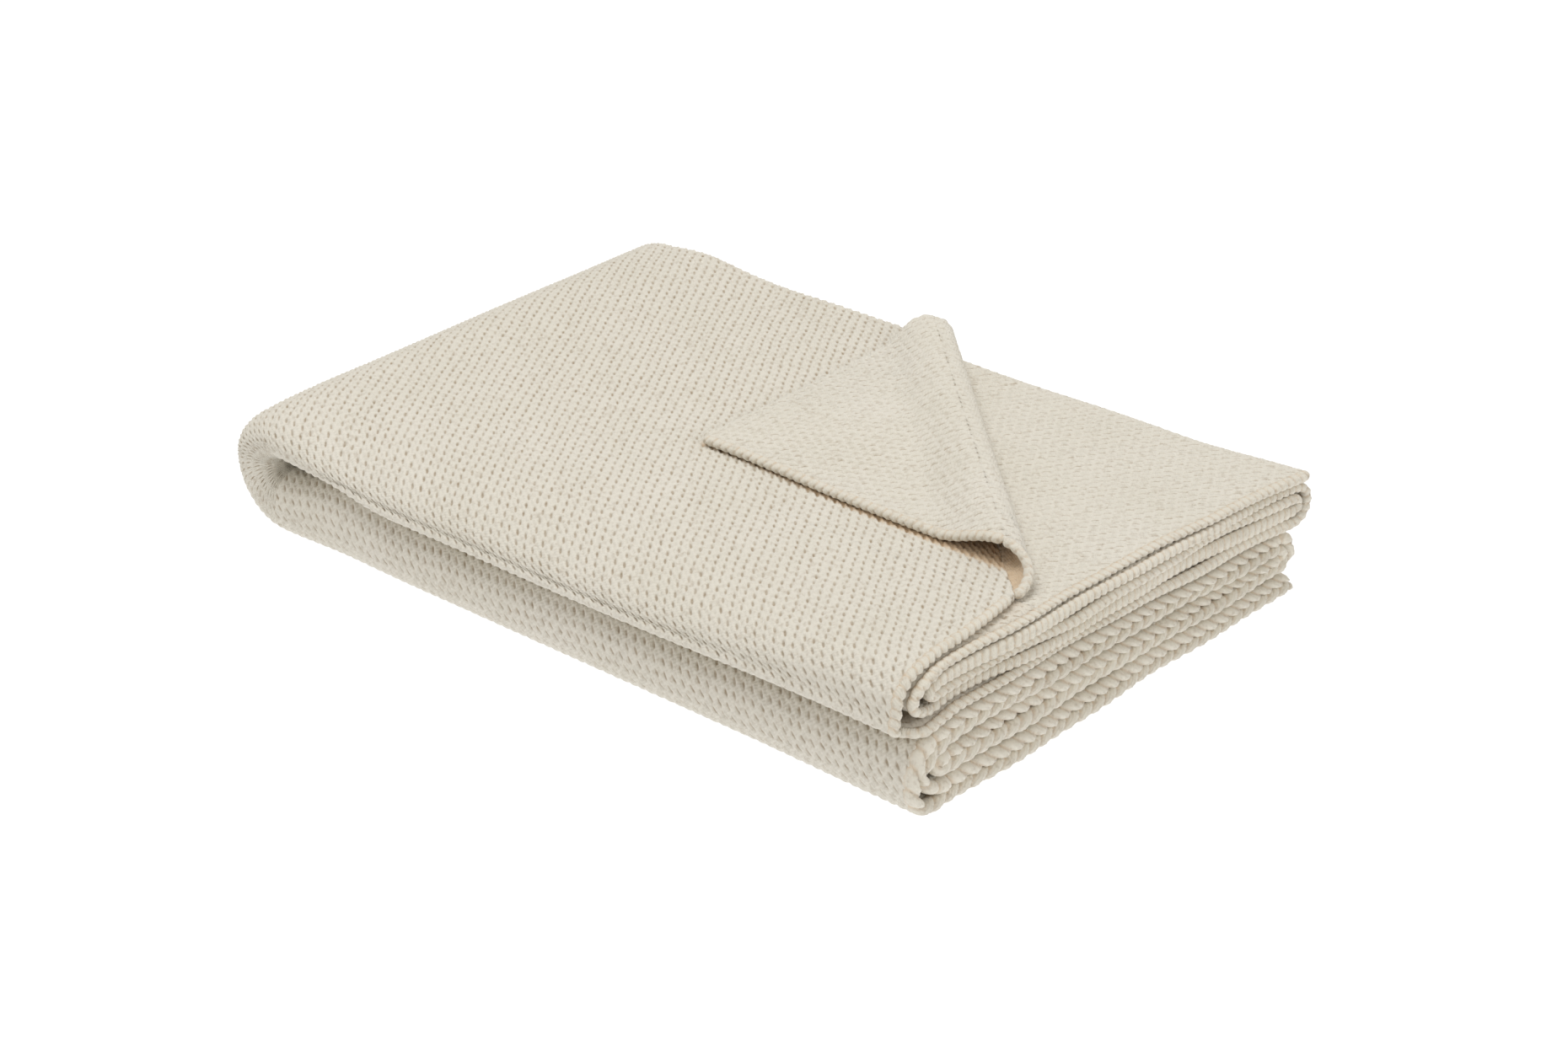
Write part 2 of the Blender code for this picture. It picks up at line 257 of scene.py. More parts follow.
def smoothed(values, width):
    """Running mean down the rows."""
    kernel = np.ones(width) / width
    padded = np.pad(values, (width // 2, width - 1 - width // 2), mode="edge")
    return np.convolve(padded, kernel, mode="valid")


def smoothed_rows(grid, width):
    total = np.cumsum(np.pad(grid, ((width // 2 + 1, width // 2), (0, 0)), mode="edge"), 0)
    return (total[width:] - total[:-width]) / width


def half_thick(side, x, y, d, in_leg):
    """Half the fabric's thickness: fuller towards the open end, where the layers fan out."""
    height = np.abs(outer_height(side, x, y) - split_height(x, y))
    share = fan(side, x, y, np.clip(d + 1 / 12, 0, 1)) - fan(side, x, y, np.clip(d - 1 / 12, 0, 1))
    base = HALF_FABRIC if side > 0 else LOWER_FULLNESS * HALF_FABRIC
    rolls = base if side > 0 else LOWER_ROLL_END_FULLNESS * base
    full = np.where(in_leg, 0.46 * share * height, rolls)
    return base + near_end(x) * (full - base)


def leg_point(side, x, y, d):
    inner = split_height(x, y) + side * hollow(x)
    outer = outer_height(side, x, y)
    z = inner + (1 - fan(side, x, y, d)) * (outer - inner)
    corner = ramp(x, 230, 325) * ramp(y, 120, 213)
    front = ramp(-y, 175, 213)
    snug = 12 * near_end(x) * ramp(-y, 135, 186) * (1 - ramp(-y, 192, 204)) * bump(d, 0.5, 0.26)
    y = y - snug
    if side > 0:
        overhang = 9 * front * bump(d, 0.82, 0.17) * ramp(x, X_TURN, SLIT_CLOSES_X + 40)
        return np.stack([x + 6 * corner, y + 9 * corner - overhang, z], -1)
    return np.stack([x, y - 3 * corner, z], -1)


def turn_point(a, y, d):
    """A point of the half fold at angle a: -90 degrees on the lower bundle, 90 on the upper."""
    at = np.full_like(y, X_TURN)
    middle = split_height(at, y)
    above = outer_height(1, at, y) - middle
    below = middle - outer_height(-1, at, y)
    reach = (1 - d) * TURN_RADIUS + d * TURN_HOLLOW
    height = (1 - d) * np.where(a > 0, above, below) + d * TURN_HOLLOW
    return np.stack([X_TURN - reach * np.cos(a), y + 0 * a, middle + height * np.sin(a)], -1)


# ---------------------------------------------------------------- stitches


def wander(u, v):
    """Small unevenness of hand-sized knitting, as shifts of the stitch grid."""
    du = 0.55 * np.sin(v / 31 + 1.3 * np.sin(u / 67)) + 0.35 * np.sin(u / 9 + v / 7.3)
    dv = 0.80 * np.sin(u / 43 + 0.9 * np.sin(v / 71)) + 0.55 * np.sin(v / 8.7 - u / 11)
    return u + du, v + dv


def moss(u, v, depth):
    """Height of the moss stitch: slanted strands, with a short slanted pit in each stitch."""
    a, b = math.pi * (u / COURSE + 1), math.pi * v / WALE
    low = (STRAND * np.cos(a - b) + DASH * np.cos(a - 3 * b) + ROW * np.cos(2 * b)
           + PLY * np.cos(2 * (a - b))) / (STRAND + DASH + ROW + PLY)
    uneven = 1 + 0.30 * np.sin(u / 2.9 + 2 * np.sin(v / 7.7)) * np.sin(v / 4.6 + np.sin(u / 9.1))
    return -depth * uneven * np.clip((low + 0.7) / 1.7, 0, 1)


def normals(grid):
    """Unit normals of a grid of points, from its own slopes."""
    du = np.gradient(grid, axis=1)
    dv = np.gradient(grid, axis=0)
    n = np.cross(dv, du)
    return n / np.maximum(np.linalg.norm(n, axis=-1, keepdims=True), 1e-9)


# ---------------------------------------------------------------- meshes


def patch_faces(levels, base, columns, flip):
    """Faces of a grid whose cells of CELL columns may be fine, medium or coarse."""
    quads, others = [], []
    above, below = levels[:-1], levels[1:]
    for level in (FINE, MEDIUM, COARSE):
        j, i = np.nonzero((above == level) & (below == level))
        step = CELL // level
        k = np.arange(level) * step
        first = base + (j[:, None] * columns + i[:, None] * CELL + k[None]).ravel()
        quads.append(np.stack([first, first + step, first + columns + step, first + columns], 1))
    for j, i in np.argwhere(above != below):
        start = base + j * columns + i * CELL
        upper = [start + k for k in range(0, CELL + 1, CELL // above[j, i])]
        under = [start + columns + k for k in range(0, CELL + 1, CELL // below[j, i])]
        others.append(upper + under[::-1])
    quads = np.concatenate(quads)
    if flip:
        return quads[:, ::-1], [f[::-1] for f in others]
    return quads, others


def wall_faces(levels_out, levels_in, row, columns, base_in, flip):
    """The faces that close the sheet's thickness along its first or last row."""
    faces = []
    for i in range(levels_out.shape[1]):
        start = row * columns + i * CELL
        top = [start + k for k in range(0, CELL + 1, CELL // levels_out[row, i])]
        low = [base_in + start + k for k in range(0, CELL + 1, CELL // levels_in[row, i])]
        face = top + low[::-1]
        faces.append(face[::-1] if flip else face)
    return faces


def make_mesh(name, points, quads, others, uv, painted_shade, material, sharp=None):
    """A mesh object from points in millimetres, with its stitch coordinates and painted shade."""
    used = np.zeros(len(points), bool)
    used[quads.ravel()] = True
    for face in others:
        used[face] = True
    order = np.cumsum(used) - 1
    quads = order[quads]
    sizes = np.concatenate([np.full(len(quads), 4), [len(f) for f in others]]).astype(int)
    loops = [quads.ravel()] + [order[np.asarray(f)] for f in others]
    loops = np.concatenate(loops).astype(np.int32)
    mesh = bpy.data.meshes.new(name)
    mesh.vertices.add(int(used.sum()))
    mesh.vertices.foreach_set("co", (points[used] * MM).astype(np.float32).ravel())
    mesh.loops.add(len(loops))
    mesh.loops.foreach_set("vertex_index", loops)
    mesh.polygons.add(len(sizes))
    starts = np.concatenate([[0], np.cumsum(sizes)[:-1]]).astype(np.int32)
    mesh.polygons.foreach_set("loop_start", starts)
    mesh.polygons.foreach_set("use_smooth", np.ones(len(sizes), bool))
    layer = mesh.uv_layers.new(name="stitches")
    layer.data.foreach_set("uv", uv[used][loops].astype(np.float32).ravel())
    # The "hollow" attribute holds painted shade: at 1 the point is painted in the shade colour.
    shade = mesh.attributes.new("hollow", "FLOAT", "POINT")
    shade.data.foreach_set("value", painted_shade[used].astype(np.float32))
    mesh.update(calc_edges=True)
    if sharp is not None:
        border = np.zeros(len(points), bool)
        border[sharp] = True
        border = border[used]
        ends = np.zeros(len(mesh.edges) * 2, np.int32)
        mesh.edges.foreach_get("vertices", ends)
        both = border[ends.reshape(-1, 2)].all(1)
        mark = mesh.attributes.new("sharp_edge", "BOOLEAN", "EDGE")
        mark.data.foreach_set("value", both)
    mesh.materials.append(material)
    obj = bpy.data.objects.new(name, mesh)
    bpy.context.scene.collection.objects.link(obj)
    return obj


def sheet_object(name, mid, half, u, v, levels, painted_shades, depth, material, open_columns=()):
    """A closed sheet round the grid mid: half is its half thickness at each point.

    levels and the painted shade hold the values for the outer and the inner face, and open_columns
    the columns at which the fabric goes on in another object.
    """
    rows, columns = mid.shape[:2]
    n = normals(mid)
    u, v = wander(u, v)
    outer = mid + n * (half + moss(u, v, depth))[..., None]
    inner = mid - n * (half + moss(u + COURSE, v, depth))[..., None]
    base_in = rows * columns
    points = np.concatenate([outer.reshape(-1, 3), inner.reshape(-1, 3)])
    top_quads, top_rest = patch_faces(levels[0], 0, columns, False)
    low_quads, low_rest = patch_faces(levels[1], base_in, columns, True)
    j = np.arange(rows - 1) * columns
    left = np.stack([j, j + columns, base_in + j + columns, base_in + j], 1)
    right = left[:, ::-1] + columns - 1
    others = top_rest + low_rest
    others += wall_faces(levels[0], levels[1], 0, columns, base_in, True)
    others += wall_faces(levels[0], levels[1], rows - 1, columns, base_in, False)
    quads = np.concatenate([top_quads, low_quads, left, right])
    uv = np.stack([u / COURSE, v / WALE], -1).reshape(-1, 2)
    uv = np.concatenate([uv, uv + [1, 0]])
    painted_shade = np.concatenate([painted_shades[0].ravel(), painted_shades[1].ravel()])
    sharp = [
        base + np.arange(rows) * columns + (columns - 1 if c else 0)
        for c in open_columns for base in (0, base_in)
    ]
    return make_mesh(name, points, quads, others, uv, painted_shade, material,
                     np.concatenate(sharp) if sharp else None)


# ---------------------------------------------------------------- materials


def cotton(name, base, warm, pit_shade, strand_scale):
    """Matte undyed cotton yarn: plied strands and fuzz, with painted shade making the pits warmer
    and darker.
    """
    mat = bpy.data.materials.new(name)
    mat.use_nodes = True
    nt = mat.node_tree
    shader = nt.nodes["Principled BSDF"]
    shader.inputs["Roughness"].default_value = 0.92
    shader.inputs["Specular IOR Level"].default_value = 0.22
    shader.inputs["Sheen Weight"].default_value = 0.18
    shader.inputs["Sheen Roughness"].default_value = 0.55

    def node(kind, **values):
        made = nt.nodes.new(kind)
        for key, value in values.items():
            setattr(made, key, value)
        return made

    def maths(kind, a, b=None):
        made = node("ShaderNodeMath", operation=kind)
        for socket, value in zip(made.inputs, (a, b)):
            if isinstance(value, (int, float)):
                socket.default_value = value
            elif value is not None:
                nt.links.new(value, socket)
        return made.outputs[0]

    def mixed(factor, a, b):
        made = node("ShaderNodeMix", data_type="RGBA")
        nt.links.new(factor, made.inputs["Factor"])
        for socket, value in ((made.inputs["A"], a), (made.inputs["B"], b)):
            if isinstance(value, tuple):
                socket.default_value = value
            else:
                nt.links.new(value, socket)
        return made.outputs["Result"]

    stitches = node("ShaderNodeUVMap", uv_map="stitches")
    parts = node("ShaderNodeSeparateXYZ")
    nt.links.new(stitches.outputs["UV"], parts.inputs[0])
    u, v = parts.outputs[0], parts.outputs[1]

    def wave(of_u, of_v, weight):
        turns = maths("ADD", maths("MULTIPLY", maths("ADD", u, 1), of_u * math.pi),
                      maths("MULTIPLY", v, of_v * math.pi))
        return maths("MULTIPLY", maths("COSINE", turns), weight / (STRAND + DASH + ROW + PLY))

    low = maths("ADD", maths("ADD", wave(1, -1, STRAND), wave(1, -3, DASH)),
                maths("ADD", wave(0, 2, ROW), wave(2, -2, PLY)))
    pit = node("ShaderNodeMapRange", interpolation_type="SMOOTHSTEP")
    nt.links.new(low, pit.inputs["Value"])
    pit.inputs["From Min"].default_value = 0.12
    pit.inputs["From Max"].default_value = 0.80

    where = node("ShaderNodeTexCoord")
    fuzz = node("ShaderNodeTexNoise")
    fuzz.inputs["Scale"].default_value = 1300
    fuzz.inputs["Detail"].default_value = 3
    nt.links.new(where.outputs["Object"], fuzz.inputs["Vector"])
    slow = node("ShaderNodeTexNoise")
    slow.inputs["Scale"].default_value = 16
    slow.inputs["Detail"].default_value = 2
    nt.links.new(where.outputs["Object"], slow.inputs["Vector"])
    fleck = node("ShaderNodeTexNoise")
    fleck.inputs["Scale"].default_value = 260
    fleck.inputs["Detail"].default_value = 2
    nt.links.new(where.outputs["Object"], fleck.inputs["Vector"])

    lean = maths("ADD", maths("MULTIPLY", u, strand_scale), maths("MULTIPLY", v, 2.6))
    lean = maths("ADD", lean, maths("MULTIPLY", fleck.outputs[0], 1.2))
    strand = maths("SINE", maths("MULTIPLY", lean, 2 * math.pi))
    height = maths("ADD", maths("MULTIPLY", strand, 0.30), maths("MULTIPLY", fuzz.outputs[0], 0.7))
    ridge = node("ShaderNodeBump")
    ridge.inputs["Strength"].default_value = 0.55
    ridge.inputs["Distance"].default_value = 0.0006
    nt.links.new(height, ridge.inputs["Height"])
    nt.links.new(ridge.outputs[0], shader.inputs["Normal"])

    soft = tuple(0.93 * c for c in base[:2]) + (0.90 * base[2], 1.0)
    ground = mixed(slow.outputs[0], soft, base)
    speck = node("ShaderNodeMapRange")
    nt.links.new(fleck.outputs[0], speck.inputs["Value"])
    speck.inputs["From Min"].default_value = 0.53
    speck.inputs["From Max"].default_value = 0.80
    speck.inputs["To Max"].default_value = 0.42
    ground = mixed(speck.outputs[0], ground, warm)
    # Painted shade: the stitch pits are painted darker, towards the warm colour, where shade falls
    # in them.
    patchy = maths("MULTIPLY", fleck.outputs[0], 1.6)
    dark = maths("MULTIPLY", pit.outputs[0], patchy)
    shaded = mixed(maths("MULTIPLY", dark, pit_shade), ground, warm)
    # Painted shade: where the mesh's "hollow" attribute is set, the yarn is painted in the shade
    # colour.
    painted_shade_at = node("ShaderNodeAttribute", attribute_name="hollow")
    colour = mixed(painted_shade_at.outputs["Fac"], shaded, PAINTED_SHADE_COLOUR)
    nt.links.new(colour, shader.inputs["Base Color"])
    return mat


KNIT = cotton("undyed_moss_knit", (0.80, 0.76, 0.68, 1), (0.40, 0.31, 0.21, 1), 0.75, 1.0)
EDGE = cotton("undyed_edge_chain", (0.80, 0.755, 0.665, 1), (0.40, 0.31, 0.21, 1), 0.10, 2.0)


# ---------------------------------------------------------------- the two bundles


def layer_1_right(y):
    """Where the top layer of the upper bundle ends: its own edge, then the corner's fold."""
    edge = knots(y, (Y_FRONT, 312), (-191, 313), (-139, 310), (-95, 302), (EDGE_MEETS_FOLD_Y, 298.1))
    fold = FOLD_START[0] + (y - FOLD_START[1]) * ALONG[0] / ALONG[1]
    return np.where(y < EDGE_MEETS_FOLD_Y, edge, fold)


def edge_x(side):
    """Where the edge chain of each row lies."""
    x = np.full_like(ROW_Y, X_OPEN - 4.0)
    if side > 0:
        wavy = knots(ROW_Y, (-180, -1), (-49, -7), (8, -7), (88, -4), (172, -1), (207, 0))
        x = x + wavy * in_kind("layer_2") - 6 * ramp(-ROW_Y, 90, 170) * (ROW_D < 0.8)
        top = layer_1_right(ROW_Y) - 4.0 * (ROW_Y < LAYER_1_EDGE_END_Y)
        under = ramp(ROW_D, 0.84, 0.92)
        x = np.where(in_kind("layer_1"), top, x)
        x = np.where(in_kind("front_outer"), top + (x - top) * under, x)
    x = x + 1.3 * np.sin(ROW_V / 37) + 0.8 * np.sin(ROW_V / 17 + 1)
    on_fold = in_kind("layer_1") & (ROW_Y >= LAYER_1_EDGE_END_Y)
    if side > 0:
        x = np.where(on_fold, layer_1_right(ROW_Y), x)
    return x


def flap_painted_shade(x, y):
    """Painted shade on layer 1: a strip along the flap's lower edge, wider in the roll's mouth."""
    mouth = FOLD_START + 16 * ALONG
    edge = FLAP_TIP - mouth
    across = ((x - mouth[0]) * edge[1] - (y - mouth[1]) * edge[0]) / np.hypot(*edge)
    reach = 4 + 24 * ramp(x, 180, 270)
    strip = ramp(across, -4, 1) * (1 - ramp(across / reach, 1, 1.8))
    return 0.85 * strip * ramp(x - FLAP_TIP[0], -4, 4)


def bundle(side, name):
    ends = edge_x(side)
    cells = int(round((X_OPEN - X_TURN) / (U_STEP * CELL)))
    columns = cells * CELL + 1
    t = np.linspace(0, 1, columns)[None]
    x = X_TURN + (ends[:, None] - X_TURN) * t
    y = np.repeat(ROW_Y[:, None], columns, 1)
    d = np.repeat(ROW_D[:, None], columns, 1)
    v = np.repeat(ROW_V[:, None], columns, 1)
    mid = leg_point(side, x, y, d)
    rim = np.minimum(ROW_V, ROW_V[-1] - ROW_V)
    rounding = rounded(rim)[:, None]
    tucked = rounded(ends[:, None] - x)
    if side > 0:
        folded = (in_kind("layer_1") & (ROW_Y >= LAYER_1_EDGE_END_Y))[:, None]
        tucked = np.where(folded, 1.0, tucked)
    in_leg = in_kind(*LEGS)[:, None]
    half = half_thick(side, x, y, d, in_leg)
    half = smoothed_rows(half, SMOOTH_ROWS) * rounding * tucked
    depth = STITCH_DEPTH * rounding * tucked

    outer = np.full((len(ROW_Y), cells), COARSE)
    inner = outer.copy()
    cell_x = (x[:, :-1:CELL] + x[:, CELL::CELL]) / 2
    outer[in_kind("front_outer")] = FINE
    outer[in_kind("back_outer")] = MEDIUM
    outer[in_kind("layer_6")] = MEDIUM
    outer[in_kind("layer_1")] = FINE if side > 0 else MEDIUM
    near_back = (ROW_Y > 190) & in_kind("layer_1", "layer_2")
    outer[near_back] = FINE
    inner[near_back] = FINE
    bare = in_kind("layer_2")[:, None] & (ROW_Y[:, None] > -75) & (side > 0)
    inner[bare & (cell_x > layer_1_right(ROW_Y)[:, None] - 45)] = FINE
    last = cell_x > X_OPEN - 20
    outer[last] = np.maximum(outer[last], MEDIUM)

    # Painted shade: faces of inner layers are painted half way to the shade colour, fading out
    # towards the open end and at the free back edges; faces that face out are not painted.
    painted_shade_inside = 0.5 * ramp(ends[:, None] - x, 4, 30) * enclosed()
    facing = in_kind(*FACING)[:, None]
    painted_shade_out = np.where(facing, 0.0, painted_shade_inside)
    if side > 0:
        painted_shade_out = np.where(in_kind("layer_1")[:, None], flap_painted_shade(x, y), painted_shade_out)
    painted_shade_in = np.where(bare, 0.0, painted_shade_inside)
    # The upper bundle's outward side is up, the lower bundle's down.
    u = x if side > 0 else -x + 2 * X_TURN
    grid = dict(mid=mid, half=half, u=u, v=v, depth=depth)
    if side < 0:
        grid = {key: value[:, ::-1] for key, value in grid.items()}
        outer, inner = outer[:, ::-1], inner[:, ::-1]
        painted_shade_out, painted_shade_in = painted_shade_out[:, ::-1], painted_shade_in[:, ::-1]
    obj = sheet_object(name, grid["mid"], grid["half"], grid["u"], grid["v"], (outer, inner),
                       (painted_shade_out, painted_shade_in), grid["depth"], KNIT, (1,) if side < 0 else (0,))
    return obj


def turn(name):
    """The half fold: every layer runs round it from the lower bundle to the upper."""
    columns = TURN_REPEATS * COLUMNS_PER_REPEAT + 1
    cells = (columns - 1) // CELL
    t = np.linspace(-1, 1, columns)[None]
    y = np.repeat(ROW_Y[:, None], columns, 1)
    d = np.repeat(ROW_D[:, None], columns, 1)
    v = np.repeat(ROW_V[:, None], columns, 1)
    a = np.repeat(t * math.pi / 2, len(ROW_Y), 0)
    mid = turn_point(a, y, d)
    u = X_TURN + (t - 1) / 2 * TURN_REPEATS * 2 * COURSE + 0 * y
    arc = math.pi * ((1 - ROW_D) * (TURN_RADIUS + 50) / 2 + ROW_D * TURN_HOLLOW)
    room = np.clip(arc / (TURN_REPEATS * 2 * COURSE), 0.45, 1)[:, None]
    rim = np.minimum(ROW_V, ROW_V[-1] - ROW_V)
    rounding = rounded(rim)[:, None]
    lower = LOWER_FULLNESS + (1 - LOWER_FULLNESS) * (t + 1) / 2
    half = HALF_FABRIC * rounding * lower + 0 * y
    at_ends = 1 - ramp(np.abs(t), 0.0, 1.0)
    depth = STITCH_DEPTH * rounding * (1 - (1 - room) * at_ends)
    outer = np.full((len(ROW_Y), cells), COARSE)
    inner = outer.copy()
    outer[in_kind("layer_1", "front_outer", "back_outer")] = FINE
    outer[in_kind("layer_6")] = MEDIUM
    near_back = (ROW_Y > 190) & in_kind("layer_1", "layer_2")
    outer[near_back] = FINE
    inner[near_back] = FINE
    facing = in_kind(*FACING)[:, None]
    # Painted shade: the half fold's faces that lie inside are painted part way to the shade colour.
    painted_shade_out = np.where(facing, 0.0, 0.3) * enclosed() + 0 * y
    painted_shade_in = 0.3 * enclosed() + 0 * y
    return sheet_object(name, mid, half, u, v, (outer, inner), (painted_shade_out, painted_shade_in),
                        depth + 0 * y, KNIT, (0, 1))


def fold_coordinates(point):
    away = np.asarray(point) - FOLD_START
    return away @ ALONG, away @ INWARD


TIP_S, TIP_P = fold_coordinates(FLAP_TIP)
FAR_S, FAR_P = fold_coordinates(FLAP_BACK_CORNER)


def flap_grid_uv(s, p):
    """Stitch coordinates on the flap: wales along its cast-on edge, courses along its side."""
    along_v = (FOLD_START - FLAP_TIP) / np.linalg.norm(FOLD_START - FLAP_TIP)
    along_u = (FLAP_BACK_CORNER - FLAP_TIP) / np.linalg.norm(FLAP_BACK_CORNER - FLAP_TIP)
    away = (FOLD_START + s[..., None] * ALONG + p[..., None] * INWARD) - FLAP_TIP
    v, u = np.moveaxis(away @ np.linalg.inv(np.stack([along_v, along_u])), -1, 0)
    return u, v


def layer_1_mid(x, y):
    return leg_point(1, x, y, np.full_like(x, 1 / 12))[..., 2]


def corner_grid():
    """Middle surface of the roll and the flap: rows from layer 1, over the roll, to the tip."""
    columns = int(FOLD_LENGTH / (U_STEP * CELL)) * CELL + 1
    f = np.linspace(0, 1, columns)[None]
    turn_rows = 31
    angle = np.linspace(-math.pi / 2, math.pi / 2, turn_rows)[:, None]
    near = ROLL_RUN_ON * ROLL_MID * angle
    s = near + (FOLD_LENGTH - near) * f
    flat = FOLD_START + s[..., None] * ALONG
    foot = layer_1_mid(flat[..., 0], flat[..., 1])
    top = ROLL_AXIS_Z + ROLL_RISE + 0.8 * np.sin(s / 55)
    p_roll = -ROLL_MID * np.cos(angle) + 0 * s
    z_roll = (foot + top) / 2 + (top - foot) / 2 * np.sin(angle)
    arc = ROLL_MID * (angle - math.pi / 2)
    roll = (s, p_roll, z_roll, arc + 0 * s)

    p = np.linspace(0, TIP_P - 1.5, int(TIP_P / U_STEP))[:, None]
    start = ROLL_RUN_ON * ROLL_MID * math.pi / 2
    low = start + (TIP_S - start) * p / TIP_P
    sides = knots(p, (-20, FOLD_LENGTH), (0, FOLD_LENGTH), (FAR_P, FAR_S), (TIP_P, TIP_S))
    high = smoothed(sides[:, 0], 25)[:, None]
    s = low + (high - low) * f
    p_flap = p + 0 * s
    flat = FOLD_START + s[..., None] * ALONG + p[..., None] * INWARD
    rest = outer_height(1, flat[..., 0], flat[..., 1]) + HALF_FABRIC - 0.2
    crest = ROLL_AXIS_Z + ROLL_RISE + 0.8 * np.sin(s / 55)
    lift = np.cos(math.pi / 2 * np.clip(p / FLAP_RISE_REACH, 0, 1)) ** 2
    z_flap = rest + (crest - rest) * lift
    flap = (s, p_flap, z_flap, p_flap)
    return roll, flap


def corner_points(part):
    s, p, z, _ = part
    flat = FOLD_START + s[..., None] * ALONG + p[..., None] * INWARD
    return np.concatenate([flat, z[..., None]], -1)


def corner():
    """The roll over which the corner turns back, and the flap that lies on the pile."""
    roll, flap = corner_grid()
    whole = [np.concatenate([a[:-1], b]) for a, b in zip(roll, flap)]
    mid = corner_points(whole)
    s, arc = whole[0], whole[3]
    u, v = flap_grid_uv(s, arc)
    rows, columns = s.shape
    cells = (columns - 1) // CELL
    across = np.linspace(0, 1, columns)[None] * (s[:, -1:] - s[:, :1])
    rim = np.minimum(across, across[:, -1:] - across)
    rounding = rounded(np.minimum(rim, TIP_P - 1.5 - arc))
    half = FLAP_HALF * rounding
    depth = STITCH_DEPTH * rounding
    n = normals(mid)
    u, v = wander(u, v)
    top_side = half + moss(u, v, depth)
    low_side = half + moss(u + COURSE, v, depth)
    split = roll[0].shape[0] - 1
    made = []
    spans = (("corner_roll_knit", 0, split + 1), ("corner_flap_knit", split, rows))
    for name, first, last in spans:
        part = slice(first, last)
        shape = (last - first, columns)
        outer = mid[part] - n[part] * top_side[part][..., None]
        inner = mid[part] + n[part] * low_side[part][..., None]
        base_in = shape[0] * columns
        points = np.concatenate([outer.reshape(-1, 3), inner.reshape(-1, 3)])
        levels = np.full((shape[0], cells), FINE)
        q1, _ = patch_faces(levels, 0, columns, True)
        q2, _ = patch_faces(levels, base_in, columns, False)
        j = np.arange(shape[0] - 1) * columns
        left = np.stack([j, j + columns, base_in + j + columns, base_in + j], 1)
        k = np.arange(columns - 1)
        start = np.stack([k, k + 1, base_in + k + 1, base_in + k], 1)
        end = start[:, ::-1] + (shape[0] - 1) * columns
        quads = np.concatenate([q1, q2, left[:, ::-1], left + columns - 1, start, end])
        uv = np.stack([u[part] / COURSE, v[part] / WALE], -1).reshape(-1, 2)
        uv = np.concatenate([uv, uv + [1, 0]])
        # Painted shade inside the roll and under the flap near the fold, fading towards the flap's
        # tip and far end.
        under = 0.8 * ramp(60 - arc[part], 0, 45) * (1 - ramp(across[part], 40, 100))
        painted_shade = np.concatenate([np.zeros(shape).ravel(), under.ravel()])
        edge_row = 0 if first else shape[0] - 1
        sharp = np.concatenate([edge_row * columns + np.arange(columns),
                                base_in + edge_row * columns + np.arange(columns)])
        made.append(make_mesh(name, points, quads, [], uv, painted_shade, KNIT, sharp))
    return made, mid, n, split


def edge_chain(name, path, inside, thick_way, half, out, pitch, height, lean, vee=0.0):
    """A finished knit edge: slanted strands wrapped along a path, as one closed tube.

    inside is a point of the fabric beside each point of the path, lean how far each strand
    runs on along the edge while it crosses it, and vee the same for a strand that turns back.
    """
    step = np.gradient(path, axis=0)
    ahead = step / np.linalg.norm(step, axis=1, keepdims=True)
    outward = path - inside
    outward -= ahead * (outward * ahead).sum(1, keepdims=True)
    outward -= thick_way * (outward * thick_way).sum(1, keepdims=True)
    outward /= np.linalg.norm(outward, axis=1, keepdims=True)
    run = np.concatenate([[0], np.cumsum(np.linalg.norm(np.diff(path, axis=0), axis=1))])
    ring = 16
    angle = (np.arange(ring) * 2 * math.pi / ring - math.pi)[None]
    ends = np.sqrt(1 - (1 - np.clip(np.minimum(run, run[-1] - run) / 4, 0.03, 1)) ** 2)
    lean = np.broadcast_to(lean, run.shape)[:, None]
    phase = run[:, None] / pitch + lean * np.sin(angle) + vee * np.abs(np.sin(angle))
    phase = phase + 0.10 * np.sin(run / 23 + 2 * np.sin(run / 51))[:, None]
    wave = np.abs(np.cos(math.pi * phase)) ** 0.7
    ply = 0.12 * height * np.cos(6 * math.pi * phase)
    seen = 0.45 + 0.55 * np.clip(np.cos(angle), 0, 1)
    relief = (height * (wave - 0.75) + ply) * seen
    a = (half[:, None] + 0.55 * relief) * ends[:, None]
    b = (out + relief) * ends[:, None]
    points = (path[:, None] + thick_way[:, None] * (a * np.sin(angle))[..., None]
              + outward[:, None] * (b * np.cos(angle))[..., None])
    rows = len(path)
    j = np.arange(rows - 1)[:, None] * ring
    k = np.arange(ring)[None]
    nxt = (k + 1) % ring
    quads = np.stack([j + k, j + nxt, j + ring + nxt, j + ring + k], -1).reshape(-1, 4)
    caps = [list(range(ring))[::-1], [(rows - 1) * ring + i for i in range(ring)]]
    if (np.cross(ahead, thick_way) * outward).sum() < 0:
        quads, caps = quads[:, ::-1], [cap[::-1] for cap in caps]
    uv = np.stack([phase * 2, np.repeat(angle / math.pi, rows, 0)], -1).reshape(-1, 2)
    # Painted shade: the grooves between the chain's strands, and its back towards the fabric, are
    # painted towards the shade colour.
    pits = np.clip(0.62 - wave, 0, 1)
    back = np.clip(-np.cos(angle), 0, 1)
    painted_shade = np.clip(1.0 * pits + 0.6 * back, 0, 1) * ends[:, None]
    return make_mesh(name, points.reshape(-1, 3), quads, caps, uv, painted_shade.ravel(), EDGE)


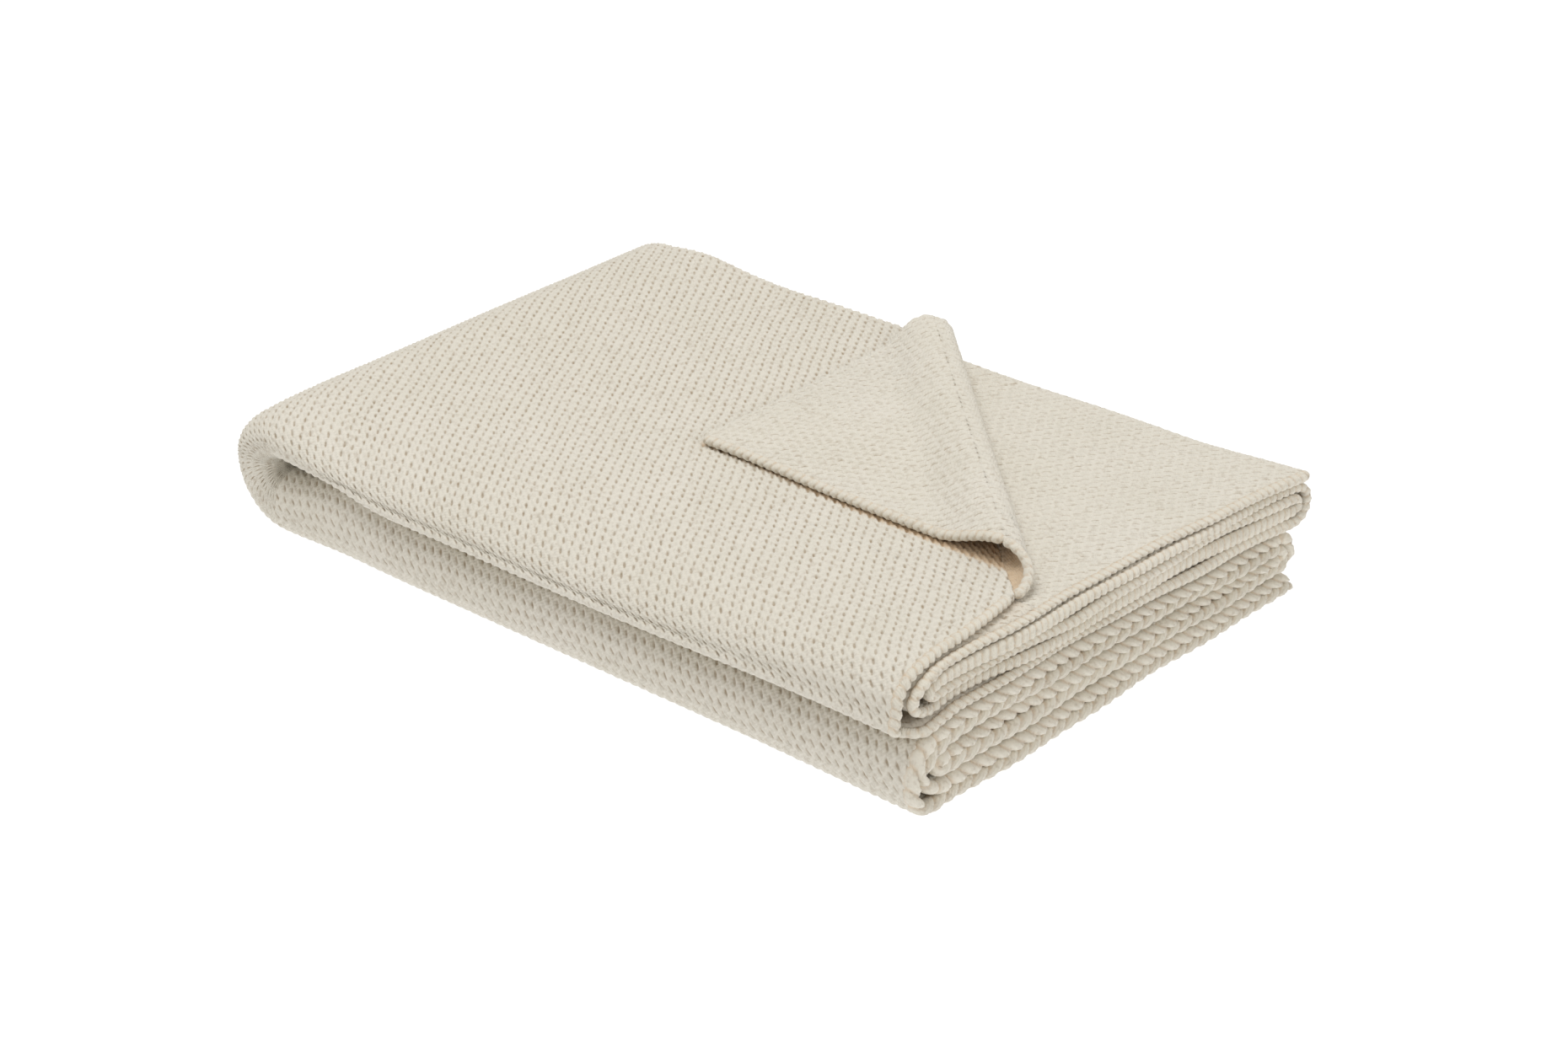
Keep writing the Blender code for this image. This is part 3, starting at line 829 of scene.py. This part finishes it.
def bundle_chain(side, name):
    """The finished edge at the open end of a bundle, round all its folds."""
    x = edge_x(side)
    in_leg = in_kind(*LEGS)
    half = smoothed(half_thick(side, x, ROW_Y, ROW_D, in_leg), SMOOTH_ROWS)
    path = leg_point(side, x, ROW_Y, ROW_D)
    inside = leg_point(side, x - 1.0, ROW_Y, ROW_D)
    thick_way = np.cross(np.gradient(path, axis=0), path - inside)
    thick_way /= np.linalg.norm(thick_way, axis=1, keepdims=True)
    if side < 0:
        even = in_kind("layer_2", "layer_4", "layer_6")
        odd = in_kind("layer_1", "layer_3", "layer_5")
        turned = smoothed(np.where(even, -1.0, 1.0), 2 * SMOOTH_ROWS + 1)
        paired = BRAID_PAIRING * smoothed(1.0 * odd - 1.0 * even, SMOOTH_ROWS)
        path[:, 2] += paired
        inside[:, 2] += paired
        return edge_chain(name, path, inside, thick_way, half - 0.5, 6.4, 2 * WALE, 4.2,
                          BRAID_LEAN * turned)
    keep = ~(in_kind("layer_1") & (ROW_Y >= LAYER_1_EDGE_END_Y))
    return edge_chain(name, path[keep], inside[keep], thick_way[keep], half[keep], 4.2, WALE,
                      2.2, 0.0, CHAIN_VEE)


lower = bundle(-1, "lower_knit")
upper = bundle(1, "upper_knit")
half_fold = turn("half_fold_turn")
(roll_knit, flap_knit), corner_mid, corner_n, corner_split = corner()
lower_chain = bundle_chain(-1, "bind_off_braid")
upper_chain = bundle_chain(1, "cast_on_chain")


def corner_chain(name, rows):
    path = corner_mid[rows, 1]
    return edge_chain(name, path, corner_mid[rows, 12], corner_n[rows, 4],
                      np.full(len(path), FLAP_HALF), 4.0, WALE, 2.2, 0.0, CHAIN_VEE)


roll_chain = corner_chain("corner_roll_chain", slice(0, corner_split + 1))
flap_chain = corner_chain("corner_flap_chain", slice(corner_split, None))

# ---------------------------------------------------------------- stage

CAMERA_AT = (1.5135, -1.6958, 1.1899)
AZIMUTH, ELEVATION = math.radians(41.15), math.radians(27.13)
view_back = Vector((math.sin(AZIMUTH) * math.cos(ELEVATION),
                    -math.cos(AZIMUTH) * math.cos(ELEVATION), math.sin(ELEVATION)))
camera = bpy.data.objects.new("camera", bpy.data.cameras.new("camera"))
bpy.context.scene.collection.objects.link(camera)
camera.location = CAMERA_AT
camera.rotation_euler = view_back.to_track_quat("Z", "Y").to_euler()
camera.data.lens = 81.36
camera.data.sensor_width = 36
camera.data.clip_start = 0.01
bpy.context.scene.camera = camera

world = bpy.data.worlds.new("studio")
world.use_nodes = True
world.node_tree.nodes["Background"].inputs[0].default_value = (1, 0.965, 0.915, 1)
world.node_tree.nodes["Background"].inputs[1].default_value = 0.55
bpy.context.scene.world = world
bpy.context.scene.view_settings.view_transform = "Standard"


def floor_piece(name, x, y, z, shade, glow):
    """A flat rectangle of the stage, up to x and y from the middle."""
    mesh = bpy.data.meshes.new(name)
    mesh.from_pydata([(-x, -y, 0), (x, -y, 0), (x, y, 0), (-x, y, 0)], [], [(0, 1, 2, 3)])
    obj = bpy.data.objects.new(name, mesh)
    bpy.context.scene.collection.objects.link(obj)
    obj.location.z = z
    paint = bpy.data.materials.new(name)
    paint.use_nodes = True
    sockets = paint.node_tree.nodes["Principled BSDF"].inputs
    sockets["Base Color"].default_value = (shade, shade, shade, 1)
    sockets["Roughness"].default_value = 0.9
    sockets["Emission Color"].default_value = (1, 1, 1, 1)
    sockets["Emission Strength"].default_value = glow
    mesh.materials.append(paint)


floor_piece("floor", 30.0, 30.0, -0.0012, 0.15, 0.93)
# Under the pile, where only shade falls, a dark sheet that does not glow, so the glowing floor does
# not light the pile from beneath.
floor_piece("floor_under_pile", 0.284, 0.190, -0.0006, 0.35, 0.0)


def area_light(name, place, target, size, power):
    lamp = bpy.data.lights.new(name, "AREA")
    lamp.shape = "DISK"
    lamp.size = size
    lamp.energy = power
    lamp.color = (0.97, 0.985, 1.0)
    obj = bpy.data.objects.new(name, lamp)
    bpy.context.scene.collection.objects.link(obj)
    obj.location = place
    obj.rotation_euler = (Vector(place) - Vector(target)).to_track_quat("Z", "Y").to_euler()


area_light("key", (-0.4, -0.2, 2.4), (0, 0, 0), 1.6, 26)
area_light("side", (2.2, -0.1, 1.2), (0, 0, 0.05), 1.2, 9)

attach(lower, "lower_half")
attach(upper, "upper_half")
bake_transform(half_fold)
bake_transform(roll_knit)
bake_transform(roll_chain)
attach(flap_knit, "turned_corner")
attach(flap_chain, "turned_corner")
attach(lower_chain, "lower_half")
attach(upper_chain, "upper_half")
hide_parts(*[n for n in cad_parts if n.startswith("lower_")])
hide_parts(*[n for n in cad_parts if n.startswith("upper_")])
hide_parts("bind_off_edge")
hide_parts("cast_on_edge")
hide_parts("corner_roll")
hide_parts("corner_flap", "corner_flap_selvedge")
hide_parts("corner_flap_cast_on_edge")
